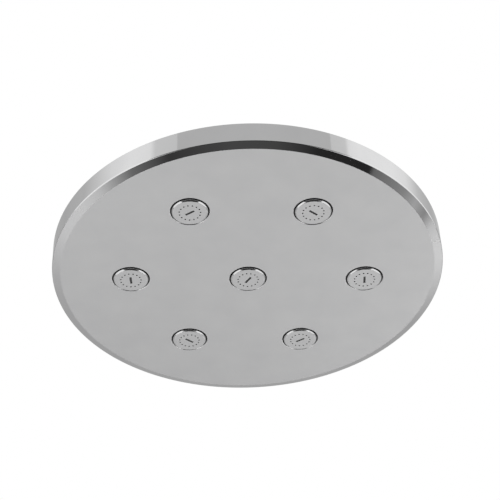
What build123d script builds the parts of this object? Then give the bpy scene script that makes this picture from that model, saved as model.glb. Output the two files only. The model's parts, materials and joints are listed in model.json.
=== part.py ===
from build123d import *
from math import cos, hypot, radians, sin, sqrt, tan
import os

# Round overhead shower head: a shallow chromed disc with seven jets that swivel in the face,
# hung on a ball joint. Millimetres, +Z up. The origin is the middle of the mouth of the inlet
# thread, at the top of the stem.

# Driving dimensions of the disc
disc_diameter = 300.0
disc_height = 18.6
bevel_width = 6.5
bevel_height = 1.8
face_wall = 2.0
side_wall = 2.5
cover_wall = 2.0
edge_round = 0.3

# Jets in the face: one in the middle, the rest on a circle round it
jet_circle_diameter = 180.0
jet_circle_count = 6
jet_plate_diameter = 26.8
jet_plate_wall = 1.5
jet_plate_bevel = 0.85
jet_proud = 1.2
jet_ball_height = 6.5
jet_tilt_deg = 5.0
jet_tilt_clearance = 0.2
hole_edge_round = 0.9

# Outlets: fine holes in a ring on each jet plate
outlet_count = 15
outlet_diameter = 1.2
outlet_circle_diameter = 15.6
outlet_start_deg = -4.6
turned_jet_number = 7
outlet_margin = 0.5

# Swivel of a jet: spigot of the plate, ball, seat ring and O-ring
spigot_wall = 1.05
spigot_length = 5.2
jet_ball_edge = 0.97
jet_ball_rise = 1.5
seat_wall = 3.2
seat_ledge = 1.78
seat_rise = 3.6
ring_seal_thickness = 1.8
ring_seal_drop = 1.8

# Waterway: hollow star with a cup over each jet
cup_wall = 2.4
waterway_wall = 1.2
channel_wall = 1.6
arm_width = 16.0
port_diameter = 20.0
collar_wall = 1.5
collar_height = 2.0

# Inlet stem: pipe thread G 1/2 above, ball below
thread_minor_diameter = 18.63
thread_length = 12.0
relief_depth = 1.385
relief_length = 3.5
stem_wall = 2.8
stem_flats_depth = 1.5
stem_flats_length = 9.0
stem_flats_drop = 2.0
stem_floor = 3.0
stem_bore_diameter = 11.0
stem_edge_bevel = 0.8
neck_diameter = 16.0
neck_length = 4.5
ball_diameter = 24.0
ball_flat_land = 1.83
head_tilt_deg = 12.0

# Pieces inside the stem
washer_thickness = 2.4
washer_bore_diameter = 12.0
screen_thickness = 0.5
screen_hole_diameter = 1.3
screen_hole_pitch = 2.0
screen_hole_rings = 3
limiter_diameter = 12.8
limiter_length = 5.0
limiter_hole_diameter = 1.8
limiter_hole_circle_diameter = 7.6
limiter_hole_count = 6

# Ball joint: liner, seal, socket and nut
liner_wall = 1.4
liner_rise = 6.5
liner_drop = 1.0
ball_seal_wall = 1.5
ball_seal_top_drop = 4.0
ball_seal_bottom_drop = 8.0
socket_thread_diameter = 33.0
socket_rim_drop = 2.0
well_clearance = 0.4
flange_screw_land = 1.5
flange_wall = 3.0
flange_floor = 1.3
flange_round = 0.5
nut_wall = 2.45
nut_shoulder_rise = 2.0
nut_rise = 9.6
nut_lip = 1.6
nut_round = 0.8
nut_flats_depth = 1.0
nut_flats_length = 7.0
nut_gap = 0.3
neck_clearance = 0.5

# Spigot of the socket, plugged into the waterway
inlet_spigot_diameter = 18.0
inlet_spigot_bore_diameter = 12.0
inlet_spigot_gap = 1.3
inlet_port_wall = 1.9
inlet_seal_thickness = 1.2
inlet_seal_height = 1.6
inlet_seal_inset = 0.8

# Countersunk screws
screw_diameter = 4.0
screw_head_diameter = 8.0
screw_head_angle_deg = 90.0
screw_key = 2.5
screw_key_depth = 1.2
cover_screw_count = 8
cover_screw_length = 10.0
cover_screw_land = 0.5
cover_lug_overlap = 0.5
socket_screw_count = 6
socket_screw_length = 6.0
socket_screw_start_deg = 30.0

# Clearances of the fits
ball_clearance = 0.1
running_clearance = 0.1
thread_clearance = 0.05
seal_clearance = 0.1
screw_clearance = 0.1
cover_clearance = 0.15

# Radii worked out from the sizes above
disc_radius = disc_diameter / 2
shell_bore_radius = disc_radius - side_wall
jet_circle_radius = jet_circle_diameter / 2
jet_plate_radius = jet_plate_diameter / 2
jet_tilt = radians(jet_tilt_deg)
jet_tilt_reach = jet_plate_radius * cos(jet_tilt) + jet_ball_height * sin(jet_tilt)
jet_hole_radius = jet_tilt_reach + jet_tilt_clearance
outlet_circle_radius = outlet_circle_diameter / 2
chamber_radius = outlet_circle_radius + outlet_diameter / 2 + outlet_margin
spigot_radius = chamber_radius + spigot_wall
jet_ball_bore_radius = spigot_radius + thread_clearance
jet_ball_drop = jet_ball_height + jet_proud - jet_plate_wall
jet_ball_radius = hypot(jet_ball_bore_radius + jet_ball_edge, jet_ball_drop)
seat_bore_radius = jet_ball_radius + ball_clearance
seat_radius = max(seat_bore_radius + seat_wall, jet_hole_radius + seat_ledge)
cup_bore_radius = seat_radius + running_clearance
cup_radius = cup_bore_radius + cup_wall
collar_bore_radius = cup_radius + running_clearance
thread_radius = thread_minor_diameter / 2
relief_radius = thread_radius + relief_depth
stem_radius = relief_radius + stem_wall
stem_bore_radius = stem_bore_diameter / 2
limiter_radius = limiter_diameter / 2
limiter_bore_radius = limiter_radius + running_clearance
neck_radius = neck_diameter / 2
ball_radius = ball_diameter / 2
ball_flat_radius = stem_bore_radius + ball_flat_land
ball_drop = sqrt(ball_radius**2 - ball_flat_radius**2)
liner_bore_radius = ball_radius + ball_clearance
liner_radius = liner_bore_radius + liner_wall
socket_cavity_radius = liner_radius + ball_clearance
ball_seal_radius = sqrt(liner_bore_radius**2 - ball_seal_top_drop**2) + ball_seal_wall
seal_pocket_radius = ball_seal_radius + seal_clearance
well_radius = sqrt(liner_bore_radius**2 - ball_seal_bottom_drop**2) + seal_clearance
socket_thread_radius = socket_thread_diameter / 2
nut_bore_radius = socket_thread_radius + thread_clearance
nut_radius = nut_bore_radius + nut_wall
head_tilt = radians(head_tilt_deg)
nut_opening_radius = neck_radius / cos(head_tilt) + nut_rise * tan(head_tilt) + neck_clearance
inlet_spigot_radius = inlet_spigot_diameter / 2
inlet_spigot_bore_radius = inlet_spigot_bore_diameter / 2
inlet_port_bore_radius = inlet_spigot_radius + running_clearance
inlet_port_radius = inlet_port_bore_radius + inlet_port_wall
inlet_groove_radius = inlet_spigot_radius - inlet_seal_thickness
screw_radius = screw_diameter / 2
screw_hole_radius = screw_radius + screw_clearance
screw_head_radius = screw_head_diameter / 2
sink_radius = screw_head_radius + screw_clearance
screw_cone_height = (screw_head_radius - screw_radius) / tan(radians(screw_head_angle_deg / 2))
cover_screw_circle_radius = shell_bore_radius - cover_screw_land - screw_head_radius
cover_lug_radius = shell_bore_radius + cover_lug_overlap - cover_screw_circle_radius
socket_screw_circle_radius = nut_radius + flange_screw_land + screw_head_radius
flange_radius = socket_screw_circle_radius + screw_head_radius + flange_screw_land

# Heights worked out from the sizes above, from the inlet mouth downwards
relief_floor_z = -thread_length - relief_length
stem_shoulder_z = relief_floor_z - stem_floor
limiter_floor_z = relief_floor_z - limiter_length - running_clearance
neck_end_z = stem_shoulder_z - neck_length
ball_z = neck_end_z - sqrt(ball_radius**2 - neck_radius**2)
well_drop = ball_flat_radius * sin(head_tilt) + ball_drop * cos(head_tilt) + well_clearance
flange_bottom_z = ball_z - well_drop - flange_floor
flange_top_z = flange_bottom_z + flange_wall
cover_top_z = flange_bottom_z
cover_bottom_z = cover_top_z - cover_wall
face_z = cover_top_z - disc_height
inner_face_z = face_z + face_wall
jet_ball_z = face_z + jet_ball_height
cup_ceiling_z = jet_ball_z + seat_rise
channel_floor_z = cup_ceiling_z + waterway_wall
channel_top_z = cover_bottom_z - waterway_wall
inlet_spigot_end_z = channel_floor_z + inlet_spigot_gap

# Middles of the jet balls: the middle jet first, then round the circle from +X
jet_centres = [Vector(0, 0, jet_ball_z)]
for place in range(jet_circle_count):
    reach = Vector(jet_circle_radius, 0, jet_ball_z)
    jet_centres.append(reach.rotate(Axis.Z, place * 360 / jet_circle_count))


def on_ball(radius, rise):
    """Point of a ball's profile at a height above the ball's middle."""
    return (sqrt(radius**2 - rise**2), rise)


def upright(centre):
    """Profile plane through a centre: across is the radius, up is the height above the centre."""
    return Plane(origin=centre, x_dir=(1, 0, 0), z_dir=(0, -1, 0))


def save(piece, name):
    """Label a finished piece and write it to its file."""
    piece.part.label = name
    export_step(piece.part, f"parts/{name}.step")


os.makedirs("parts", exist_ok=True)

# Front shell: face, bevel and side wall in one piece, with collars for the cups and lugs for the cover
with BuildPart() as front_shell:
    with BuildSketch(Plane.XZ) as shell_profile:
        with BuildLine():
            Polyline(
                (0, face_z),
                (disc_radius - bevel_width, face_z),
                (disc_radius, face_z + bevel_height),
                (disc_radius, cover_top_z),
                (shell_bore_radius, cover_top_z),
                (shell_bore_radius, inner_face_z),
                (0, inner_face_z),
                close=True,
            )
        make_face()
        outer_corners = shell_profile.vertices().group_by(Axis.X)[-1]
        face_corner = shell_profile.vertices().group_by(Axis.Y)[0].sort_by(Axis.X)[-1]
        fillet(outer_corners + [face_corner], edge_round)
    revolve(axis=Axis.Z)
    with BuildSketch(Plane.XY.offset(inner_face_z)):
        with Locations(jet_centres):
            Circle(collar_bore_radius + collar_wall)
            Circle(collar_bore_radius, mode=Mode.SUBTRACT)
    extrude(amount=collar_height)
    with BuildSketch(Plane.XY.offset(inner_face_z)):
        with PolarLocations(cover_screw_circle_radius, cover_screw_count):
            Circle(cover_lug_radius)
    extrude(amount=cover_bottom_z - inner_face_z)
    with Locations(Plane.XY.offset(cover_top_z)):
        with PolarLocations(cover_screw_circle_radius, cover_screw_count):
            CounterSinkHole(
                screw_hole_radius,
                sink_radius,
                depth=cover_top_z - inner_face_z,
                counter_sink_angle=screw_head_angle_deg,
            )
    with BuildSketch(Plane.XY.offset(face_z)):
        with Locations(jet_centres):
            Circle(jet_hole_radius)
    extrude(amount=face_wall, mode=Mode.SUBTRACT)
    face_edges = front_shell.faces().sort_by(Axis.Z)[0].inner_wires().edges()
    fillet(face_edges, hole_edge_round)
save(front_shell, "front_shell")

# Back cover: flat plate let into the shell, with sunk holes for its screws
with BuildPart() as back_cover:
    with BuildSketch(Plane.XY.offset(cover_bottom_z)):
        Circle(shell_bore_radius - cover_clearance)
        Circle(inlet_spigot_radius + running_clearance, mode=Mode.SUBTRACT)
        with PolarLocations(socket_screw_circle_radius, socket_screw_count, socket_screw_start_deg):
            Circle(screw_hole_radius, mode=Mode.SUBTRACT)
    extrude(amount=cover_wall)
    with Locations(Plane.XY.offset(cover_top_z)):
        with PolarLocations(cover_screw_circle_radius, cover_screw_count):
            CounterSinkHole(
                screw_hole_radius, sink_radius, counter_sink_angle=screw_head_angle_deg
            )
save(back_cover, "back_cover")


def screw_group(top_z, circle_radius, count, start_deg, length):
    """Countersunk screws with a hexagon key socket, heads flush with a surface."""
    downwards = (Align.CENTER, Align.CENTER, Align.MAX)
    with BuildPart(Plane.XY.offset(top_z)) as screws:
        with PolarLocations(circle_radius, count, start_deg):
            Cone(screw_radius, screw_head_radius, screw_cone_height, align=downwards)
            Cylinder(screw_radius, length, align=downwards)
        with BuildSketch(Plane.XY.offset(top_z)):
            with PolarLocations(circle_radius, count, start_deg):
                RegularPolygon(screw_key / 2, 6, major_radius=False)
        extrude(amount=-screw_key_depth, mode=Mode.SUBTRACT)
    return screws


cover_screws = screw_group(
    cover_top_z, cover_screw_circle_radius, cover_screw_count, 0, cover_screw_length
)
save(cover_screws, "cover_screws")
socket_screws = screw_group(
    flange_top_z,
    socket_screw_circle_radius,
    socket_screw_count,
    socket_screw_start_deg,
    socket_screw_length,
)
save(socket_screws, "socket_screws")

# Inlet socket: flange on the cover, threaded boss with a pocket for the ball, spigot into the waterway
seal_ledge_z = ball_z - ball_seal_bottom_drop - seal_clearance
seal_top_z = ball_z - ball_seal_top_drop
groove_bottom_z = inlet_spigot_end_z + inlet_seal_inset
groove_top_z = groove_bottom_z + inlet_seal_height
with BuildPart() as inlet_socket:
    with BuildSketch(Plane.XZ) as socket_profile:
        with BuildLine():
            Polyline(
                (inlet_spigot_bore_radius, inlet_spigot_end_z),
                (inlet_spigot_radius, inlet_spigot_end_z),
                (inlet_spigot_radius, groove_bottom_z),
                (inlet_groove_radius, groove_bottom_z),
                (inlet_groove_radius, groove_top_z),
                (inlet_spigot_radius, groove_top_z),
                (inlet_spigot_radius, flange_bottom_z),
                (flange_radius, flange_bottom_z),
                (flange_radius, flange_top_z),
                (socket_thread_radius, flange_top_z),
                (socket_thread_radius, ball_z - socket_rim_drop),
                (socket_cavity_radius, ball_z - socket_rim_drop),
                (socket_cavity_radius, seal_top_z),
                (seal_pocket_radius, seal_top_z),
                (seal_pocket_radius, seal_ledge_z),
                (well_radius, seal_ledge_z),
                (well_radius, ball_z - well_drop),
                (inlet_spigot_bore_radius, ball_z - well_drop),
                close=True,
            )
        make_face()
        flange_corner = socket_profile.vertices().sort_by(Axis.X)[-2:].sort_by(Axis.Y)[-1]
        fillet(flange_corner, flange_round)
    revolve(axis=Axis.Z)
    with Locations(Plane.XY.offset(flange_top_z)):
        with PolarLocations(socket_screw_circle_radius, socket_screw_count, socket_screw_start_deg):
            CounterSinkHole(
                screw_hole_radius, sink_radius, counter_sink_angle=screw_head_angle_deg
            )
save(inlet_socket, "inlet_socket")

# Spigot seal: ring in the groove of the inlet spigot
with BuildPart() as spigot_seal:
    with BuildSketch(Plane.XY.offset(groove_bottom_z)):
        Circle(inlet_spigot_radius)
        Circle(inlet_groove_radius, mode=Mode.SUBTRACT)
    extrude(amount=inlet_seal_height)
save(spigot_seal, "spigot_seal")

# Ball nut: clamps the liner over the ball and leaves room for the neck to tilt
nut_bottom = flange_top_z + nut_gap - ball_z
nut_opening = on_ball(socket_cavity_radius, sqrt(socket_cavity_radius**2 - nut_opening_radius**2))
nut_ledge = on_ball(socket_cavity_radius, -socket_rim_drop)
with BuildPart() as ball_nut:
    with BuildSketch(upright((0, 0, ball_z))) as nut_profile:
        with BuildLine():
            Polyline(
                nut_opening,
                (nut_opening_radius, nut_rise),
                (nut_opening_radius + nut_lip, nut_rise),
                (nut_radius, nut_shoulder_rise),
                (nut_radius, nut_bottom),
                (nut_bore_radius, nut_bottom),
                (nut_bore_radius, -socket_rim_drop),
                nut_ledge,
            )
            ThreePointArc(nut_ledge, (socket_cavity_radius, 0), nut_opening)
        make_face()
        fillet(nut_profile.vertices().group_by(Axis.X)[-1], nut_round)
    revolve(axis=Axis.Z)
    with BuildSketch(Plane.XY.offset(ball_z + nut_bottom)):
        Rectangle(2 * nut_radius, 2 * nut_radius)
        Rectangle(2 * nut_radius, 2 * (nut_radius - nut_flats_depth), mode=Mode.SUBTRACT)
    extrude(amount=nut_flats_length, mode=Mode.SUBTRACT)
save(ball_nut, "ball_nut")

# Ball stem: turned in one piece, from the inlet thread to the ball
ball_top = on_ball(ball_radius, sqrt(ball_radius**2 - neck_radius**2))
ball_bottom = on_ball(ball_radius, -ball_drop)
with BuildPart() as ball_stem:
    with BuildSketch(upright((0, 0, ball_z))) as stem_profile:
        with BuildLine():
            ThreePointArc(ball_top, (ball_radius, 0), ball_bottom)
            Polyline(
                ball_bottom,
                (stem_bore_radius, -ball_drop),
                (stem_bore_radius, limiter_floor_z - ball_z),
                (limiter_bore_radius, limiter_floor_z - ball_z),
                (limiter_bore_radius, relief_floor_z - ball_z),
                (relief_radius, relief_floor_z - ball_z),
                (relief_radius, -thread_length - ball_z),
                (thread_radius, -thread_length - ball_z),
                (thread_radius, -ball_z),
                (stem_radius, -ball_z),
                (stem_radius, stem_shoulder_z - ball_z),
                (neck_radius, stem_shoulder_z - ball_z),
                ball_top,
            )
        make_face()
        chamfer(stem_profile.vertices().group_by(Axis.X)[-1], stem_edge_bevel)
    revolve(axis=Axis.Z)
    with BuildSketch(Plane.XY.offset(-stem_flats_drop)):
        Rectangle(2 * stem_radius, 2 * stem_radius)
        Rectangle(2 * stem_radius, 2 * (stem_radius - stem_flats_depth), mode=Mode.SUBTRACT)
    extrude(amount=-stem_flats_length, mode=Mode.SUBTRACT)
save(ball_stem, "ball_stem")

# Ball liner: spherical ring between the ball and the nut
with BuildPart() as ball_liner:
    with BuildSketch(upright((0, 0, ball_z))):
        with BuildLine():
            ThreePointArc(
                on_ball(liner_radius, -liner_drop),
                (liner_radius, 0),
                on_ball(liner_radius, liner_rise),
            )
            Line(on_ball(liner_radius, liner_rise), on_ball(liner_bore_radius, liner_rise))
            ThreePointArc(
                on_ball(liner_bore_radius, liner_rise),
                (liner_bore_radius, 0),
                on_ball(liner_bore_radius, -liner_drop),
            )
            Line(on_ball(liner_bore_radius, -liner_drop), on_ball(liner_radius, -liner_drop))
        make_face()
    revolve(axis=Axis.Z)
save(ball_liner, "ball_liner")

# Ball seal: ring in the socket that wipes the underside of the ball
seal_middle_drop = (ball_seal_top_drop + ball_seal_bottom_drop) / 2
with BuildPart() as ball_seal:
    with BuildSketch(upright((0, 0, ball_z))):
        with BuildLine():
            ThreePointArc(
                on_ball(liner_bore_radius, -ball_seal_top_drop),
                on_ball(liner_bore_radius, -seal_middle_drop),
                on_ball(liner_bore_radius, -ball_seal_bottom_drop),
            )
            Polyline(
                on_ball(liner_bore_radius, -ball_seal_bottom_drop),
                (ball_seal_radius, -ball_seal_bottom_drop),
                (ball_seal_radius, -ball_seal_top_drop),
                on_ball(liner_bore_radius, -ball_seal_top_drop),
            )
        make_face()
    revolve(axis=Axis.Z)
save(ball_seal, "ball_seal")

# Inlet washer: flat ring that the shower arm's end presses on
with BuildPart() as inlet_washer:
    with BuildSketch(Plane.XY.offset(relief_floor_z + screen_thickness)):
        Circle(relief_radius - running_clearance)
        Circle(washer_bore_diameter / 2, mode=Mode.SUBTRACT)
    extrude(amount=washer_thickness)
save(inlet_washer, "inlet_washer")

# Filter screen: thin perforated disc under the washer, holes in rings of six, twelve and eighteen
with BuildPart() as filter_screen:
    with BuildSketch(Plane.XY.offset(relief_floor_z)):
        Circle(relief_radius - running_clearance)
        Circle(screen_hole_diameter / 2, mode=Mode.SUBTRACT)
        for ring in range(1, screen_hole_rings + 1):
            with PolarLocations(ring * screen_hole_pitch, 6 * ring):
                Circle(screen_hole_diameter / 2, mode=Mode.SUBTRACT)
    extrude(amount=screen_thickness)
save(filter_screen, "filter_screen")

# Flow limiter: plug in the neck with a ring of metering holes
with BuildPart() as flow_limiter:
    with BuildSketch(Plane.XY.offset(relief_floor_z)):
        Circle(limiter_radius)
        with PolarLocations(limiter_hole_circle_diameter / 2, limiter_hole_count):
            Circle(limiter_hole_diameter / 2, mode=Mode.SUBTRACT)
    extrude(amount=-limiter_length)
save(flow_limiter, "flow_limiter")


def star(end_radius, width):
    """Outline of the waterway: a round end over each jet, joined to the middle by straight arms."""
    with BuildSketch(mode=Mode.PRIVATE) as outline:
        Circle(end_radius)
        with PolarLocations(jet_circle_radius, jet_circle_count):
            Circle(end_radius)
        with PolarLocations(jet_circle_radius / 2, jet_circle_count):
            Rectangle(jet_circle_radius, width)
    return outline.sketch


# Waterway body: star-shaped trough with a cup under each end
with BuildPart() as waterway_body:
    with BuildSketch(Plane.XY.offset(cup_ceiling_z)):
        add(star(cup_radius, arm_width))
    extrude(amount=channel_top_z - cup_ceiling_z)
    with BuildSketch(Plane.XY.offset(channel_floor_z)):
        add(star(cup_radius - channel_wall, arm_width - 2 * channel_wall))
    extrude(amount=channel_top_z - channel_floor_z, mode=Mode.SUBTRACT)
    with BuildSketch(Plane.XY.offset(inner_face_z)):
        with Locations(jet_centres):
            Circle(cup_radius)
            Circle(cup_bore_radius, mode=Mode.SUBTRACT)
    extrude(amount=cup_ceiling_z - inner_face_z)
    with BuildSketch(Plane.XY.offset(cup_ceiling_z)):
        with Locations(jet_centres):
            Circle(port_diameter / 2)
    extrude(amount=waterway_wall, mode=Mode.SUBTRACT)
save(waterway_body, "waterway_body")

# Waterway lid: star-shaped plate with a round port for the inlet spigot
with BuildPart() as waterway_lid:
    with BuildSketch(Plane.XY.offset(channel_top_z)):
        add(star(cup_radius, arm_width))
    extrude(amount=waterway_wall)
    with BuildSketch(Plane.XY.offset(inlet_spigot_end_z)):
        Circle(inlet_port_radius)
    extrude(amount=channel_top_z - inlet_spigot_end_z)
    with BuildSketch(Plane.XY.offset(inlet_spigot_end_z)):
        Circle(inlet_port_bore_radius)
    extrude(amount=cover_bottom_z - inlet_spigot_end_z, mode=Mode.SUBTRACT)
save(waterway_lid, "waterway_lid")

# Jets: each has a plate with outlets, a ball, a seat ring and an O-ring
plate_drop = jet_ball_height + jet_proud
seat_bottom = face_wall + running_clearance - jet_ball_height
seat_top = seat_rise - running_clearance
ring_seal_radius = ring_seal_thickness / 2
ring_seal_circle_radius, _ = on_ball(seat_bore_radius + ring_seal_radius, -ring_seal_drop)
groove_radius = ring_seal_circle_radius + ring_seal_radius + seal_clearance
groove_half_height = ring_seal_radius + seal_clearance
for number, centre in enumerate(jet_centres, start=1):
    jet_axis = Axis(centre, (0, 0, 1))
    half_pitch_deg = 180 / outlet_count
    turned_deg = half_pitch_deg if number == turned_jet_number else 0

    with BuildPart() as jet_plate:
        with BuildSketch(upright(centre)):
            with BuildLine():
                Polyline(
                    (0, -plate_drop),
                    (jet_plate_radius - jet_plate_bevel, -plate_drop),
                    (jet_plate_radius, -plate_drop + jet_plate_bevel),
                    (jet_plate_radius, -jet_ball_drop),
                    (spigot_radius, -jet_ball_drop),
                    (spigot_radius, -jet_ball_drop + spigot_length),
                    (chamber_radius, -jet_ball_drop + spigot_length),
                    (chamber_radius, -jet_ball_drop),
                    (0, -jet_ball_drop),
                    close=True,
                )
            make_face()
        revolve(axis=jet_axis)
        with BuildSketch(Plane(origin=centre).offset(-plate_drop)):
            with PolarLocations(outlet_circle_radius, outlet_count, outlet_start_deg + turned_deg):
                Circle(outlet_diameter / 2)
        extrude(amount=jet_plate_wall, mode=Mode.SUBTRACT)
    save(jet_plate, f"jet_{number}_plate")

    with BuildPart() as jet_ball:
        with BuildSketch(upright(centre)):
            with BuildLine():
                ThreePointArc(
                    on_ball(jet_ball_radius, -jet_ball_drop),
                    (jet_ball_radius, 0),
                    on_ball(jet_ball_radius, jet_ball_rise),
                )
                Polyline(
                    on_ball(jet_ball_radius, jet_ball_rise),
                    (jet_ball_bore_radius, jet_ball_rise),
                    (jet_ball_bore_radius, -jet_ball_drop),
                    on_ball(jet_ball_radius, -jet_ball_drop),
                )
            make_face()
        revolve(axis=jet_axis)
    save(jet_ball, f"jet_{number}_ball")

    with BuildPart() as jet_seat:
        with BuildSketch(upright(centre)):
            with BuildLine():
                ThreePointArc(
                    on_ball(seat_bore_radius, seat_bottom),
                    (seat_bore_radius, 0),
                    on_ball(seat_bore_radius, seat_top),
                )
                Polyline(
                    on_ball(seat_bore_radius, seat_top),
                    (seat_radius, seat_top),
                    (seat_radius, seat_bottom),
                    on_ball(seat_bore_radius, seat_bottom),
                )
            make_face()
            with Locations((groove_radius, -ring_seal_drop)):
                Rectangle(
                    groove_radius,
                    2 * groove_half_height,
                    align=(Align.MAX, Align.CENTER),
                    mode=Mode.SUBTRACT,
                )
        revolve(axis=jet_axis)
    save(jet_seat, f"jet_{number}_seat")

    with BuildPart() as jet_seal:
        with Locations(centre - Vector(0, 0, ring_seal_drop)):
            Torus(ring_seal_circle_radius, ring_seal_radius)
    save(jet_seal, f"jet_{number}_seal")
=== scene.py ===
import json
from math import atan2, cos, pi, radians, sin, sqrt, tan

import bmesh
import bpy
from mathutils import Matrix, Vector


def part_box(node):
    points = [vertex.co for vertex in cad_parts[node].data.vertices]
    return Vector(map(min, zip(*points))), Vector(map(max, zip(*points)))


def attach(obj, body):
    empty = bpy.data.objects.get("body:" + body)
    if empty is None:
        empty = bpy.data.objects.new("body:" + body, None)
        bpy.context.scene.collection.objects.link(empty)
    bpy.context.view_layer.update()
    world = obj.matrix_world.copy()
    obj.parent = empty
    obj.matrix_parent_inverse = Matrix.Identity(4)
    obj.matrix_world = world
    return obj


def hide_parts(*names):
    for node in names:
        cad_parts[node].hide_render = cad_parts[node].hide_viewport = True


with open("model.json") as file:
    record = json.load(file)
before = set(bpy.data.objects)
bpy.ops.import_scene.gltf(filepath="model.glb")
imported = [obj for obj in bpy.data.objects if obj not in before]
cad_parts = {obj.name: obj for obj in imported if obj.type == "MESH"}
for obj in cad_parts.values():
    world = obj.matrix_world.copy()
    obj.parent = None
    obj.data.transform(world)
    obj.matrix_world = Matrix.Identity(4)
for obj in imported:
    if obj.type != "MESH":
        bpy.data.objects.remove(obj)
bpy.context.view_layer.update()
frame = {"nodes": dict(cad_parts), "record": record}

# Round overhead shower head, seen from below: a polished disc with seven swivelling jets in its face.
# Metres, in the part's own frame: +Z up, the origin in the mouth of the inlet thread.
MM = 0.001

# Sizes of the disc and of a jet, in millimetres
bevel_width = 6.5
bevel_height = 1.8
side_wall = 2.5
face_wall = 2.0
disc_edge_round = 0.3
wall_edge_round = 0.8
jet_hole_radius = 14.116
hole_edge_round = 0.9
jet_plate_radius = 13.4
jet_plate_bevel = 0.85
jet_plate_wall = 1.5
jet_edge_round = 0.35
spigot_radius = 9.95
spigot_bore_radius = 8.9
outlet_count = 15
outlet_radius = 0.6
outlet_circle_radius = 7.8
outlet_start_deg = -4.6
bar_length = 7.6
bar_width = 1.7
bar_depth = 0.3
bar_end_round = 0.5
bar_start_deg = 14.0
# How far each plate was turned by hand, in outlet pitches
plate_turns = {1: -3, 2: 3, 3: -2, 4: 1, 5: 3, 6: -2, 7: -6.5}
collar_bore_radius = 18.5
collar_wall = 1.5
collar_height = 2.0
lug_count = 8
lug_radius = 5.0
lug_circle_radius = 143.0
lug_top_drop = 2.0

# Sizes of the stem and the ball nut, in millimetres
thread_major_radius = 10.48
thread_minor_radius = 9.32
thread_root_radius = 10.6
thread_pitch = 1.814
thread_length = 12.0
thread_turns = 6
thread_root_share = 0.9
thread_tip_share = 0.2
thread_lead_in = 0.5
relief_radius = 10.7
relief_floor_drop = 15.5
limiter_bore_radius = 6.5
limiter_floor_drop = 20.6
stem_bore_radius = 5.5
stem_shoulder_drop = 18.5
stem_edge_bevel = 0.8
stem_flats = 24.0
stem_flats_drop = 2.0
stem_flats_length = 9.0
stem_edge_round = 0.25
neck_radius = 8.0
ball_radius = 12.0
nut_opening_radius = 10.72
nut_lip = 1.6
nut_shoulder_rise = 2.0
nut_bore_radius = 16.55
nut_cavity_radius = 13.7
nut_rim_drop = 2.0
nut_flats = 36.0
nut_flats_length = 7.0
nut_edge_round = 0.6

# How far a cutting tool runs past the wall that it cuts, how far a rod that is welded on is sunk into
# its wall, and how near a point lies to the place that it is sought at, in millimetres
overrun = 1.0
weld_depth = 0.2
close_to = 0.05
same_place = 0.001

# Sides of round pieces, and steps of their rounded profiles
disc_sides = 320
fine_sides = 128
collar_sides = 96
lug_sides = 32
outlet_sides = 20
thread_sides = 64
wall_edge_steps = 8
hole_edge_steps = 10
bar_end_steps = 6
ball_steps = 24
cavity_steps = 14

# Edges that turn by less than this are shaded round
smooth_deg = 40
thread_smooth_deg = 30

# Places read from the frame
shell_low, shell_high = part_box("front_shell")
disc_radius = shell_high.x
face_z = shell_low.z
rim_z = shell_high.z
stem_low, stem_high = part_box("ball_stem")
nut_low, nut_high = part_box("ball_nut")
joint_place = {joint["name"]: Vector(joint["pos_m"]) for joint in frame["record"]["behaviour"]["joints"]}
ball_centre = joint_place["head_tilt"]
jet_numbers = range(1, 8)
jet_centres = {number: joint_place[f"jet_{number}_tilt"] for number in jet_numbers}


# Workshop: the few moves that every piece is made with

def start_from(add_primitive, name, stretch=(1, 1, 1), **settings):
    """Adds a primitive with nothing else selected, stretches it, fixes that in its mesh and names it."""
    bpy.ops.object.select_all(action="DESELECT")
    add_primitive(**settings)
    piece = bpy.context.object
    piece.scale = stretch
    bpy.ops.object.transform_apply()
    piece.name = name
    return piece


def take_up(piece):
    """Makes a piece the only selected one, and the active one."""
    bpy.ops.object.select_all(action="DESELECT")
    piece.select_set(True)
    bpy.context.view_layer.objects.active = piece


def turned(name, outline, sides, centre=(0, 0), ring=False):
    """Lathe work: a circle at the outline's first point is extruded and resized to each next point.

    The outline holds a radius and a height for each point. A ring is bridged from its last point
    back to its first, and anything else gets a flat end at both.
    """
    radius, height = outline[0]
    piece = start_from(
        bpy.ops.mesh.primitive_circle_add,
        name,
        vertices=sides,
        radius=radius,
        location=(*centre, height),
    )
    bpy.ops.object.mode_set(mode="EDIT")
    bpy.ops.mesh.select_all(action="SELECT")
    for next_radius, next_height in outline[1:]:
        bpy.ops.mesh.extrude_region_move(TRANSFORM_OT_translate={"value": (0, 0, next_height - height)})
        growth = next_radius / radius
        bpy.ops.transform.resize(value=(growth, growth, 1), center_override=(*centre, next_height))
        radius, height = next_radius, next_height
    if ring:
        bpy.ops.mesh.select_all(action="DESELECT")
        bpy.ops.mesh.select_non_manifold()
        bpy.ops.mesh.bridge_edge_loops()
    else:
        bpy.ops.mesh.select_all(action="SELECT")
        bpy.ops.mesh.fill_holes(sides=0)
    bpy.ops.mesh.select_all(action="SELECT")
    bpy.ops.mesh.normals_make_consistent(inside=False)
    bpy.ops.object.mode_set(mode="OBJECT")
    return piece


def joined(pieces, name):
    """Joins several pieces into one mesh."""
    take_up(pieces[0])
    for piece in pieces[1:]:
        piece.select_set(True)
    bpy.ops.object.join()
    pieces[0].name = name
    return pieces[0]


def cut(piece, tool, operation="DIFFERENCE"):
    """Cuts a tool out of a piece, or welds it on, and puts the tool away."""
    take_up(piece)
    bpy.ops.object.modifier_add(type="BOOLEAN")
    step = piece.modifiers[-1]
    step.operation = operation
    step.solver = "EXACT"
    step.object = tool
    bpy.ops.object.modifier_apply(modifier=step.name)
    bpy.data.objects.remove(tool)


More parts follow.
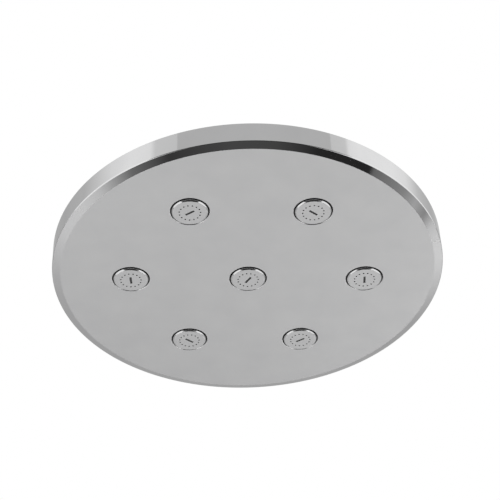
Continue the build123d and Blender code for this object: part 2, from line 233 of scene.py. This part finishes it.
def break_edges(piece, width, segments=3, sharpest_deg=12):
    """Rounds every edge that turns by more than an angle."""
    take_up(piece)
    bpy.ops.object.modifier_add(type="BEVEL")
    step = piece.modifiers[-1]
    step.width = width
    step.segments = segments
    step.limit_method = "ANGLE"
    step.angle_limit = radians(sharpest_deg)
    step.use_clamp_overlap = True
    bpy.ops.object.modifier_apply(modifier=step.name)


def shade(piece):
    """Shades flats flat and rounds round."""
    take_up(piece)
    bpy.ops.object.shade_smooth_by_angle(angle=radians(smooth_deg))
    bpy.ops.object.modifier_add(type="WEIGHTED_NORMAL")
    step = piece.modifiers[-1]
    step.weight = 100
    step.keep_sharp = True
    bpy.ops.object.modifier_apply(modifier=step.name)


def arc(radius, start_rise, end_rise, steps, centre_z):
    """Points of a ball's profile from one height above its middle to another."""
    rises = [start_rise + (end_rise - start_rise) * step / steps for step in range(steps + 1)]
    return [(sqrt(radius**2 - rise**2), centre_z + rise) for rise in rises]


def drilled(count, circle_radius, radius, low, high, name, sides, start_deg=0, centre=(0, 0)):
    """A ring of equal rods, to drill with or to weld on."""
    rods = []
    for place in range(count):
        angle = radians(start_deg) + 2 * pi * place / count
        spot = (centre[0] + circle_radius * cos(angle), centre[1] + circle_radius * sin(angle))
        rods.append(turned(name, [(radius, low), (radius, high)], sides, spot))
    return joined(rods, name)


def flats(across, low, high, reach, name):
    """Two blocks that cut a pair of spanner flats."""
    blocks = []
    for side in (-1, 1):
        block = start_from(
            bpy.ops.mesh.primitive_cube_add,
            name,
            size=1,
            location=(0, side * (across / 2 + reach / 2), (low + high) / 2),
            stretch=(2 * reach, reach, high - low),
        )
        blocks.append(block)
    return joined(blocks, name)


# Pieces

def wall_edge():
    """Profile of the round between the bevel and the side wall."""
    radius = wall_edge_round * MM
    turn = pi / 2 - atan2(bevel_height, bevel_width)
    middle_radius = disc_radius - radius
    middle_z = face_z + bevel_height * MM + radius * tan(turn / 2)
    angles = [turn * (step / wall_edge_steps - 1) for step in range(wall_edge_steps + 1)]
    return [(middle_radius + radius * cos(angle), middle_z + radius * sin(angle)) for angle in angles]


def make_front_shell():
    """Disc with a bevelled edge, a side wall and a round hole for each jet."""
    inner_face_z = face_z + face_wall * MM
    shell = turned(
        "shell",
        [
            (disc_radius - bevel_width * MM, face_z),
            *wall_edge(),
            (disc_radius, rim_z),
            (disc_radius - side_wall * MM, rim_z),
            (disc_radius - side_wall * MM, inner_face_z),
        ],
        disc_sides,
    )
    weld_z = inner_face_z - weld_depth * MM
    collar_top = inner_face_z + collar_height * MM
    inside, outside = collar_bore_radius * MM, (collar_bore_radius + collar_wall) * MM
    collar = [(inside, weld_z), (outside, weld_z), (outside, collar_top), (inside, collar_top)]
    collars = [
        turned("collars", collar, collar_sides, centre.xy, ring=True) for centre in jet_centres.values()
    ]
    cut(shell, joined(collars, "collars"), "UNION")
    lugs = drilled(
        lug_count,
        lug_circle_radius * MM,
        lug_radius * MM,
        weld_z,
        rim_z - lug_top_drop * MM,
        "lugs",
        lug_sides,
    )
    cut(shell, lugs, "UNION")
    hole_ends = (face_z - overrun * MM, inner_face_z + overrun * MM)
    hole = [(jet_hole_radius * MM, end) for end in hole_ends]
    holes = [turned("holes", hole, fine_sides, centre.xy) for centre in jet_centres.values()]
    cut(shell, joined(holes, "holes"))
    round_hole_mouths(shell)
    break_edges(shell, disc_edge_round * MM)
    shade(shell)
    return shell


def round_hole_mouths(shell):
    """Rounds the mouth of each jet hole on the face."""
    take_up(shell)
    bpy.ops.object.mode_set(mode="EDIT")
    mesh = bmesh.from_edit_mesh(shell.data)
    for edge in mesh.edges:
        ends = [end.co for end in edge.verts]
        on_face = all(abs(end.z - face_z) < close_to * MM for end in ends)
        round_a_jet = any(
            all(abs((end.xy - centre.xy).length - jet_hole_radius * MM) < close_to * MM for end in ends)
            for centre in jet_centres.values()
        )
        edge.select_set(on_face and round_a_jet)
    bmesh.update_edit_mesh(shell.data)
    bpy.ops.mesh.bevel(offset=hole_edge_round * MM, segments=hole_edge_steps, affect="EDGES")
    bpy.ops.object.mode_set(mode="OBJECT")


def make_jet_plate():
    """Round plate of the first jet: bevelled edge, ring of outlets, plain sunk bar, and a spigot behind."""
    low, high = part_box("jet_1_plate")
    centre = jet_centres[1]
    back_z = low.z + jet_plate_wall * MM
    plate = turned(
        "plate",
        [
            ((jet_plate_radius - jet_plate_bevel) * MM, low.z),
            (jet_plate_radius * MM, low.z + jet_plate_bevel * MM),
            (jet_plate_radius * MM, back_z),
            (spigot_radius * MM, back_z),
            (spigot_radius * MM, high.z),
            (spigot_bore_radius * MM, high.z),
            (spigot_bore_radius * MM, back_z),
        ],
        fine_sides,
        centre.xy,
    )
    break_edges(plate, jet_edge_round * MM, segments=4, sharpest_deg=30)
    bar = start_from(
        bpy.ops.mesh.primitive_cube_add,
        "bar",
        size=1,
        location=(*centre.xy, low.z),
        rotation=(0, 0, radians(bar_start_deg)),
        stretch=(bar_length * MM, bar_width * MM, 2 * bar_depth * MM),
    )
    round_uprights(bar, bar_end_round * MM)
    outlets = drilled(
        outlet_count,
        outlet_circle_radius * MM,
        outlet_radius * MM,
        low.z - overrun * MM,
        back_z + overrun * MM,
        "outlets",
        outlet_sides,
        outlet_start_deg,
        centre.xy,
    )
    # The outlets' walls take the near-black painted shade of the holes
    plate_finishes = [finishes["polished_chrome"], painted_shade_bore, dark_enamel]
    for index, piece in enumerate([plate, outlets, bar]):
        for finish in plate_finishes:
            piece.data.materials.append(finish)
        for wall in piece.data.polygons:
            wall.material_index = index
    cut(plate, outlets)
    cut(plate, bar)
    shade(plate)
    return plate


def round_uprights(block, radius):
    """Rounds the upright edges of a block."""
    take_up(block)
    bpy.ops.object.mode_set(mode="EDIT")
    mesh = bmesh.from_edit_mesh(block.data)
    for edge in mesh.edges:
        foot, head = (end.co for end in edge.verts)
        edge.select_set((foot.xy - head.xy).length < same_place * MM)
    bmesh.update_edit_mesh(block.data)
    bpy.ops.mesh.bevel(offset=radius, segments=bar_end_steps, affect="EDGES")
    bpy.ops.object.mode_set(mode="OBJECT")


def copy_of(piece, name, shift=(0, 0, 0), turn_deg=0):
    """Copies a piece with a mesh of its own, turned about the Z axis and then shifted."""
    twin = piece.copy()
    twin.data = piece.data.copy()
    twin.name = name
    bpy.context.collection.objects.link(twin)
    twin.data.transform(Matrix.Translation(shift) @ Matrix.Rotation(radians(turn_deg), 4, "Z"))
    return twin


def make_ball_stem():
    """Turned stem: threaded inlet above, neck and ball below, with a pair of spanner flats."""
    top = stem_high.z
    low_rise = stem_low.z - ball_centre.z
    neck_rise = sqrt((ball_radius * MM) ** 2 - (neck_radius * MM) ** 2)
    stem_radius = stem_high.x
    outline = [
        ((thread_major_radius + thread_lead_in) * MM, top),
        (thread_major_radius * MM, top - thread_lead_in * MM),
        (thread_major_radius * MM, top - thread_length * MM),
        (relief_radius * MM, top - thread_length * MM),
        (relief_radius * MM, top - relief_floor_drop * MM),
        (limiter_bore_radius * MM, top - relief_floor_drop * MM),
        (limiter_bore_radius * MM, top - limiter_floor_drop * MM),
        (stem_bore_radius * MM, top - limiter_floor_drop * MM),
        (stem_bore_radius * MM, stem_low.z),
        *arc(ball_radius * MM, low_rise, neck_rise, ball_steps, ball_centre.z),
        (neck_radius * MM, top - stem_shoulder_drop * MM),
        (stem_radius - stem_edge_bevel * MM, top - stem_shoulder_drop * MM),
        (stem_radius, top - (stem_shoulder_drop - stem_edge_bevel) * MM),
        (stem_radius, top - stem_edge_bevel * MM),
        (stem_radius - stem_edge_bevel * MM, top),
    ]
    stem = turned("stem", outline, fine_sides, ring=True)
    flats_top = top - stem_flats_drop * MM
    flats_bottom = flats_top - stem_flats_length * MM
    cut(stem, flats(stem_flats * MM, flats_bottom, flats_top, stem_radius, "stem_flats"))
    break_edges(stem, stem_edge_round * MM, segments=2, sharpest_deg=20)
    shade(stem)
    return joined([stem, make_thread(top)], "stem")


def make_thread(top):
    """Ridge of the inlet's internal pipe thread, wound down from its mouth."""
    middle_radius = (thread_root_radius + thread_minor_radius) / 2 * MM
    depth = (thread_root_radius - thread_minor_radius) * MM
    start_z = top - thread_pitch * MM
    ridge = start_from(
        bpy.ops.mesh.primitive_plane_add,
        "thread",
        size=1,
        location=(middle_radius, 0, start_z),
        rotation=(pi / 2, 0, 0),
        stretch=(depth, thread_root_share * thread_pitch * MM, 1),
    )
    bpy.ops.object.mode_set(mode="EDIT")
    mesh = bmesh.from_edit_mesh(ridge.data)
    for corner in mesh.verts:
        corner.select_set(corner.co.x < middle_radius)
    mesh.select_flush_mode()
    bmesh.update_edit_mesh(ridge.data)
    bpy.ops.transform.resize(
        value=(1, 1, thread_tip_share),
        center_override=(thread_minor_radius * MM, 0, start_z),
    )
    bpy.ops.mesh.select_all(action="SELECT")
    bpy.ops.mesh.delete(type="ONLY_FACE")
    bpy.ops.object.mode_set(mode="OBJECT")
    bpy.ops.object.modifier_add(type="SCREW")
    step = ridge.modifiers[-1]
    step.axis = "Z"
    step.screw_offset = -thread_pitch * MM
    step.iterations = thread_turns - 1
    step.steps = thread_sides
    step.render_steps = thread_sides
    step.use_merge_vertices = False
    bpy.ops.object.modifier_apply(modifier=step.name)
    bpy.ops.object.mode_set(mode="EDIT")
    bpy.ops.mesh.select_all(action="SELECT")
    bpy.ops.mesh.remove_doubles(threshold=same_place * MM)
    bpy.ops.mesh.fill_holes(sides=0)
    bpy.ops.mesh.normals_make_consistent(inside=False)
    bpy.ops.object.mode_set(mode="OBJECT")
    bpy.ops.object.shade_smooth_by_angle(angle=radians(thread_smooth_deg))
    return ridge


def make_ball_nut():
    """Domed nut that clamps the ball, with a pair of spanner flats at its foot."""
    nut_radius = nut_high.x
    opening_rise = sqrt((nut_cavity_radius * MM) ** 2 - (nut_opening_radius * MM) ** 2)
    outline = [
        (nut_opening_radius * MM, nut_high.z),
        ((nut_opening_radius + nut_lip) * MM, nut_high.z),
        (nut_radius, ball_centre.z + nut_shoulder_rise * MM),
        (nut_radius, nut_low.z),
        (nut_bore_radius * MM, nut_low.z),
        (nut_bore_radius * MM, ball_centre.z - nut_rim_drop * MM),
        *arc(nut_cavity_radius * MM, -nut_rim_drop * MM, opening_rise, cavity_steps, ball_centre.z),
    ]
    nut = turned("nut", outline, fine_sides, ring=True)
    flats_top = nut_low.z + nut_flats_length * MM
    flats_bottom = nut_low.z - overrun * MM
    cut(nut, flats(nut_flats * MM, flats_bottom, flats_top, nut_radius, "nut_flats"))
    break_edges(nut, nut_edge_round * MM, sharpest_deg=20)
    shade(nut)
    return nut


# Finishes

def linear(hex_code):
    """Linear colour of an sRGB hex value."""
    shares = [int(hex_code[at:at + 2], 16) / 255 for at in (1, 3, 5)]
    return (*[share / 12.92 if share <= 0.04045 else ((share + 0.055) / 1.055) ** 2.4 for share in shares], 1)


def add(tree, kind, links=None, **settings):
    """Adds a node with its settings; links maps its sockets to values or to other nodes' outputs."""
    node = tree.nodes.new(kind)
    for name, value in settings.items():
        setattr(node, name, value)
    for socket, value in (links or {}).items():
        if isinstance(value, bpy.types.NodeSocket):
            tree.links.new(value, node.inputs[socket])
        else:
            node.inputs[socket].default_value = value
    return node


def new_finish(name):
    """Empty material with an output and a Principled surface, and the piece's own coordinates."""
    finish = bpy.data.materials.new(name)
    finish.use_nodes = True
    tree = finish.node_tree
    tree.nodes.clear()
    surface = add(tree, "ShaderNodeBsdfPrincipled")
    add(tree, "ShaderNodeOutputMaterial", {"Surface": surface.outputs["BSDF"]})
    place = add(tree, "ShaderNodeTexCoord").outputs["Object"]
    return finish, tree, surface, place


def per_metre(size_mm):
    """Texture scale for features of a size in millimetres."""
    return 1 / (size_mm * MM)


def polished_chrome():
    """Bright nickel-chrome plate on brass, buffed: an almost perfect grey mirror, with a faint
    unevenness from buffing that shows as slow clouds and wavers the reflections a little."""
    finish, tree, surface, place = new_finish("polished_chrome_plate")
    clouds = add(tree, "ShaderNodeTexNoise", {"Vector": place, "Scale": per_metre(22), "Detail": 3.0})
    tint = add(
        tree,
        "ShaderNodeMix",
        {0: clouds.outputs["Fac"], 6: linear("#BFBFC0"), 7: linear("#C9C9C9")},
        data_type="RGBA",
    )
    haze = add(
        tree,
        "ShaderNodeMapRange",
        {0: clouds.outputs["Fac"], "To Min": 0.03, "To Max": 0.06},
    )
    waver = add(tree, "ShaderNodeTexNoise", {"Vector": place, "Scale": per_metre(30), "Detail": 1.0})
    bump = add(
        tree,
        "ShaderNodeBump",
        {"Height": waver.outputs["Fac"], "Strength": 0.02, "Distance": 1 * MM},
    )
    surface.inputs["Metallic"].default_value = 1.0
    tree.links.new(tint.outputs[2], surface.inputs["Base Color"])
    tree.links.new(haze.outputs[0], surface.inputs["Roughness"])
    tree.links.new(bump.outputs["Normal"], surface.inputs["Normal"])
    return finish


def stainless_steel():
    """Bare stainless steel of screws and screen: greyer and duller than chrome, with turning marks."""
    finish, tree, surface, place = new_finish("stainless_steel")
    marks = add(tree, "ShaderNodeTexNoise", {"Vector": place, "Scale": per_metre(0.6), "Detail": 4.0})
    tint = add(
        tree,
        "ShaderNodeMix",
        {0: marks.outputs["Fac"], 6: linear("#A9AAAB"), 7: linear("#C2C3C2")},
        data_type="RGBA",
    )
    dull = add(tree, "ShaderNodeMapRange", {0: marks.outputs["Fac"], "To Min": 0.2, "To Max": 0.36})
    surface.inputs["Metallic"].default_value = 1.0
    tree.links.new(tint.outputs[2], surface.inputs["Base Color"])
    tree.links.new(dull.outputs[0], surface.inputs["Roughness"])
    return finish


def moulded_plastic(name, dark, pale, roughness, grain_mm):
    """Moulded plastic or rubber: an even colour, a satin skin and the fine grain of the tool."""
    finish, tree, surface, place = new_finish(name)
    grain = add(tree, "ShaderNodeTexNoise", {"Vector": place, "Scale": per_metre(grain_mm), "Detail": 2.0})
    tint = add(
        tree,
        "ShaderNodeMix",
        {0: grain.outputs["Fac"], 6: linear(dark), 7: linear(pale)},
        data_type="RGBA",
    )
    bump = add(
        tree,
        "ShaderNodeBump",
        {"Height": grain.outputs["Fac"], "Strength": 0.1, "Distance": 0.05 * MM},
    )
    surface.inputs["Roughness"].default_value = roughness
    surface.inputs["IOR"].default_value = 1.48
    tree.links.new(tint.outputs[2], surface.inputs["Base Color"])
    tree.links.new(bump.outputs["Normal"], surface.inputs["Normal"])
    return finish


finishes = {
    "polished_chrome": polished_chrome(),
    "screw_steel": stainless_steel(),
    "white_acetal": moulded_plastic("white_acetal", "#E4E3DE", "#EFEEEA", 0.4, 0.4),
    "black_acetal": moulded_plastic("black_acetal", "#0B0B0C", "#141415", 0.45, 0.4),
    "grey_plastic": moulded_plastic("glass_filled_nylon", "#4C4E52", "#5A5C60", 0.5, 0.5),
    "seal_rubber": moulded_plastic("nitrile_rubber", "#141414", "#1D1D1C", 0.7, 0.3),
}
# Painted shade: the walls of the narrow outlets are coloured near black and dull, standing in for the shade
# down in the holes
painted_shade_bore = moulded_plastic("outlet_bore_painted_shade", "#101011", "#1A1A1A", 0.6, 0.2)
# Enamel in the sunk bars, dried matt
dark_enamel = moulded_plastic("dark_matt_enamel", "#2A2A2B", "#3A3A3A", 0.5, 0.3)
for subpart in frame["record"]["subparts"]:
    for slot in frame["nodes"][subpart["node"]].material_slots:
        slot.material = finishes[subpart["material_slot"]]


def fit(piece, node, body, slot):
    """Puts a finished piece in the place of a node: it takes its finish and moves with its body."""
    piece.name = f"{node}_finished"
    piece.data.name = piece.name
    if not piece.data.materials:
        piece.data.materials.append(finishes[slot])
    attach(piece, body)
    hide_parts(node)


fit(make_front_shell(), "front_shell", "head", "polished_chrome")
fit(make_ball_nut(), "ball_nut", "head", "polished_chrome")
fit(make_ball_stem(), "ball_stem", "inlet", "polished_chrome")
first_plate = make_jet_plate()
outlet_pitch_deg = 360 / outlet_count
for number, pitches in plate_turns.items():
    shift = jet_centres[number] - jet_centres[1]
    plate = copy_of(first_plate, "plate", shift, pitches * outlet_pitch_deg)
    fit(plate, f"jet_{number}_plate", f"jet_{number}", "polished_chrome")
bpy.data.objects.remove(first_plate)


# Studio: pale floor, grey room, and light-giving cards round the disc for it to mirror.
# Places and sizes in metres; a glow of 1 is as bright as the backdrop.

floor_z = -1.2
floor_size = 40
lamp_size = 0.4
room_ahead = 0.57
room_behind = 0.77


def glow(name, strength):
    """Plain light-giving surface of one grey."""
    finish = bpy.data.materials.new(name)
    finish.use_nodes = True
    tree = finish.node_tree
    tree.nodes.clear()
    light = add(tree, "ShaderNodeEmission", {"Color": (strength, strength, strength, 1)})
    add(tree, "ShaderNodeOutputMaterial", {"Surface": light.outputs[0]})
    return finish


def graded_glow(name, axis, levels):
    """Light-giving surface whose grey changes along an axis; levels holds places in metres and greys."""
    finish = glow(name, 1.0)
    tree = finish.node_tree
    light = next(node for node in tree.nodes if node.type == "EMISSION")
    place = add(tree, "ShaderNodeTexCoord").outputs["Object"]
    along = add(tree, "ShaderNodeSeparateXYZ", {0: place}).outputs[axis]
    start, end = levels[0][0], levels[-1][0]
    share = add(tree, "ShaderNodeMapRange", {0: along, "From Min": start, "From Max": end})
    ramp = add(tree, "ShaderNodeValToRGB", {0: share.outputs[0]})
    stops = ramp.color_ramp.elements
    for at, _grey in levels[1:-1]:
        stops.new((at - start) / (end - start))
    for stop, (_at, grey) in zip(stops, levels):
        stop.color = (grey, grey, grey, 1)
    tree.links.new(ramp.outputs[0], light.inputs["Color"])
    return finish


def mirror_card(name, finish, middle, width, height, turn_deg):
    """Card that only mirrors see: neither the camera nor the floor does."""
    card = start_from(
        bpy.ops.mesh.primitive_plane_add,
        name,
        size=1,
        location=middle,
        rotation=[radians(turn) for turn in turn_deg],
        stretch=(width, height, 1),
    )
    card.data.materials.append(finish)
    card.visible_camera = False
    card.visible_diffuse = False
    card.visible_shadow = False
    card.visible_transmission = False


def floor_lamp(name, across, along, rise, watts):
    """Square lamp that brightens a patch of the floor below it and isn't seen or mirrored itself."""
    light = bpy.data.lights.new(name, "AREA")
    light.size = lamp_size
    light.energy = watts
    lamp = bpy.data.objects.new(name, light)
    lamp.location = (across, along, floor_z + rise)
    lamp.visible_camera = False
    lamp.visible_glossy = False
    bpy.context.collection.objects.link(lamp)


def make_floor():
    """Pale floor well below the disc."""
    floor = start_from(bpy.ops.mesh.primitive_plane_add, "floor", size=floor_size, location=(0, 0, floor_z))
    finish, _tree, surface, _place = new_finish("pale_floor_paint")
    surface.inputs["Base Color"].default_value = linear("#EDEDED")
    surface.inputs["Roughness"].default_value = 0.9
    floor.data.materials.append(finish)


def make_room():
    """World: white for the camera, and for everything else a grey that is paler behind the camera."""
    world = bpy.data.worlds.new("studio")
    bpy.context.scene.world = world
    world.use_nodes = True
    tree = world.node_tree
    tree.nodes.clear()
    way = add(tree, "ShaderNodeTexCoord").outputs["Generated"]
    ahead = add(tree, "ShaderNodeSeparateXYZ", {0: way}).outputs["Y"]
    grey = add(
        tree,
        "ShaderNodeMapRange",
        {0: ahead, "From Min": -1.0, "From Max": 1.0, "To Min": room_behind, "To Max": room_ahead},
    )
    camera_ray = add(tree, "ShaderNodeLightPath").outputs["Is Camera Ray"]
    level = add(
        tree,
        "ShaderNodeMapRange",
        {0: camera_ray, "To Min": grey.outputs[0], "To Max": 1.0},
    )
    back = add(tree, "ShaderNodeBackground", {"Color": (1, 1, 1, 1), "Strength": level.outputs[0]})
    add(tree, "ShaderNodeOutputWorld", {"Surface": back.outputs[0]})


make_floor()
make_room()
floor_lamp("left_floor_lamp", across=-0.85, along=0.8, rise=1.0, watts=4.6)
floor_lamp("right_floor_lamp", across=1.2, along=1.45, rise=1.3, watts=9.8)

# Graded cards: each stop has its place along the axis and its glow
left_greys = graded_glow(
    "left_soft_box",
    "Y",
    [
        (-1.12, 0.91), (-0.72, 0.95), (-0.64, 1.22), (-0.36, 1.25), (-0.14, 1.12), (0.06, 0.88), (0.27, 0.68),
        (0.80, 0.56), (1.40, 0.52),
    ],
)
right_greys = graded_glow(
    "right_soft_box",
    "Y",
    [
        (-0.89, 0.90), (-0.65, 0.94), (-0.60, 1.22), (-0.45, 1.29), (-0.03, 1.26), (0.17, 1.14), (0.40, 0.78),
        (0.55, 0.68), (0.85, 0.57),
    ],
)
bevel_greys = graded_glow(
    "graded_flag",
    "X",
    [
        (-0.70, 0.97), (-0.60, 0.84), (-0.53, 0.55), (-0.45, 0.23), (-0.29, 0.06), (-0.03, 0.10),
        (0.15, 0.09), (0.32, 0.03), (0.56, 0.03), (0.58, 0.22), (0.76, 0.40), (0.84, 0.62), (0.92, 0.40),
        (1.00, 0.90), (1.06, 0.98),
    ],
)
overhead_greys = graded_glow("overhead_panel", "X", [(-0.8, 0.25), (-0.1, 0.6), (0.0, 1.15), (0.8, 1.3)])
floor_card_white = glow("floor_card", 1.5)

# Turns of a card that lies flat, one that stands beside the disc, and one that stands before or behind it
lying = (0, 0, 0)
beside = (90, 0, 90)
crosswise = (90, 0, 0)

# Heights of the cards
flag_z = face_z - 1.1
floor_card_z = flag_z + 0.01
panel_z = face_z - 0.6
edge_z = face_z + 0.2375
soft_box_z = face_z + 0.98
far_panel_z = face_z + 1.25
overhead_z = 0.95

# Name, finish, middle, width, height and turn of each card
cards = [
    # Grey steps of the side wall
    ("left_soft_box", left_greys, (-0.95, 0.14, soft_box_z), 2.52, 0.85, beside),
    ("right_soft_box", right_greys, (0.95, 0.255, soft_box_z), 2.29, 0.85, beside),
    ("left_far_panel", glow("left_far_panel", 0.5), (-0.5, 1.4, far_panel_z), 0.9, 1.3, crosswise),
    # Dark middle and grey ends of the bevel
    ("graded_flag", bevel_greys, (-0.01, -0.10, flag_z), 0.92, 1.04, lying),
    ("graded_flag_left", bevel_greys, (-0.57, 0.50, flag_z), 0.5, 0.26, (0, 0, -51)),
    ("graded_flag_right", bevel_greys, (0.77, 0.70, flag_z), 1.2, 0.26, (0, 0, 55)),
    # Pale sides of the round at each jet hole's mouth
    ("left_floor_card", floor_card_white, (-0.61, -0.035, floor_card_z), 0.28, 0.63, lying),
    ("left_outer_floor_card", floor_card_white, (-1.025, 0.035, floor_card_z), 0.55, 0.77, lying),
    ("right_floor_card", floor_card_white, (0.60, -0.065, floor_card_z), 0.30, 0.57, lying),
    ("right_outer_floor_card", floor_card_white, (1.025, 0.035, floor_card_z), 0.55, 0.77, lying),
    # Back cover and nut, seen from above
    ("overhead_panel", overhead_greys, (0, 0, overhead_z), 1.6, 1.4, lying),
    # Dark near side and bright flanks of each jet plate's bevel
    ("camera_side_flag", glow("camera_side_flag", 0.03), (0, -0.62, panel_z), 1.44, 0.95, crosswise),
    ("left_panel", glow("left_panel", 1.35), (-0.9, -0.25, panel_z), 1.0, 1.04, beside),
    ("right_panel", glow("right_panel", 1.35), (0.9, -0.25, panel_z), 1.0, 1.04, beside),
    # White line along the edge between side wall and bevel
    ("left_edge_light", glow("left_edge_light", 1.5), (-0.95, -0.375, edge_z), 0.95, 0.635, beside),
    ("right_edge_light", glow("right_edge_light", 1.5), (0.95, -0.225, edge_z), 1.15, 0.635, beside),
]
for card in cards:
    mirror_card(*card)

# Camera, as fitted to the disc's outline and the rings of outlets in the photograph
lens_mm = 102.563
sensor_mm = 36.0
camera_place = Vector((-0.050424, -0.853433, face_z - 0.688361))
camera_aim = Vector((0.000272, -0.034567, face_z))
camera_roll_deg = -2.411


def make_camera():
    """Camera below the near edge of the disc, looking up at its face."""
    eye = bpy.data.cameras.new("camera")
    eye.lens = lens_mm
    eye.sensor_width = sensor_mm
    camera = bpy.data.objects.new("camera", eye)
    bpy.context.collection.objects.link(camera)
    ahead = (camera_aim - camera_place).normalized()
    level_turn = ahead.to_track_quat("-Z", "Y").to_matrix()
    roll = Matrix.Rotation(radians(camera_roll_deg), 3, "Z")
    camera.matrix_world = Matrix.Translation(camera_place) @ (level_turn @ roll).to_4x4()
    bpy.context.scene.camera = camera


make_camera()
bpy.context.scene.view_settings.view_transform = "Standard"
